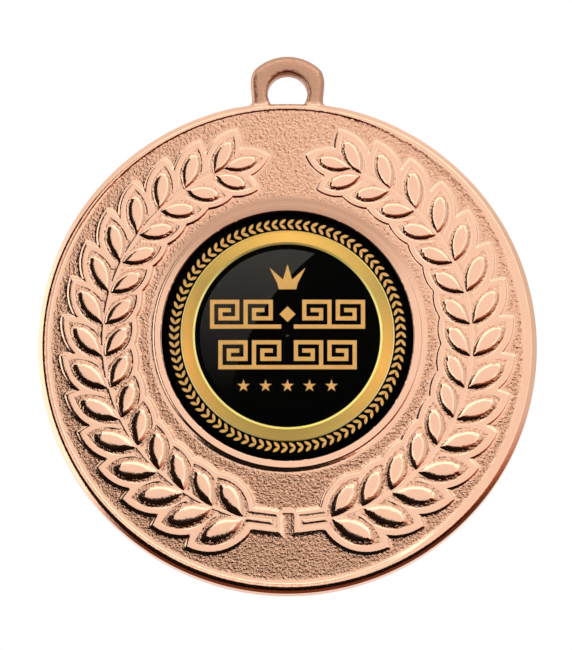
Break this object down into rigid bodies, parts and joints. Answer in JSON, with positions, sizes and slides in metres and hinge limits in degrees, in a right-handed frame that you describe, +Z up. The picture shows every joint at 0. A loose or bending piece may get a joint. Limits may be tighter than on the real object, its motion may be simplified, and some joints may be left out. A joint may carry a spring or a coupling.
{
  "type": "medal",
  "caption": "Round cast award medal with a laurel wreath in relief, a hanging loop and a printed centre insert under a clear dome.",
  "frame": {"origin": "middle of the loop's eye, at half the medal's thickness, where the medal hangs", "axes": "+Z up along the medal towards the top of the loop, -Y out of the front face, +Y out of the back, +X to the right seen from the front"},
  "size_m": [0.05, 0.0033, 0.0547],
  "materials": {
    "bronze_plate": "satin rose-bronze plating, sandblasted field, polished leaves and rim",
    "adhesive": "pale foam adhesive",
    "black_disc": "gloss black",
    "print_ink": "printed ink, black shading to grey",
    "gold_foil": "hot-stamped gold foil",
    "clear_resin": "clear gloss resin"
  },
  "bodies": {
    "root": {"medal_body": "bronze_plate", "adhesive_pad": "adhesive", "insert_disc": "black_disc", "gloss_print": "print_ink", "gold_ring": "gold_foil", "foil_laurel": "gold_foil", "foil_crown": "gold_foil", "foil_key_band_upper": "gold_foil", "foil_key_band_lower": "gold_foil", "foil_stars": "gold_foil", "clear_dome": "clear_resin"}
  },
  "joints": []
}
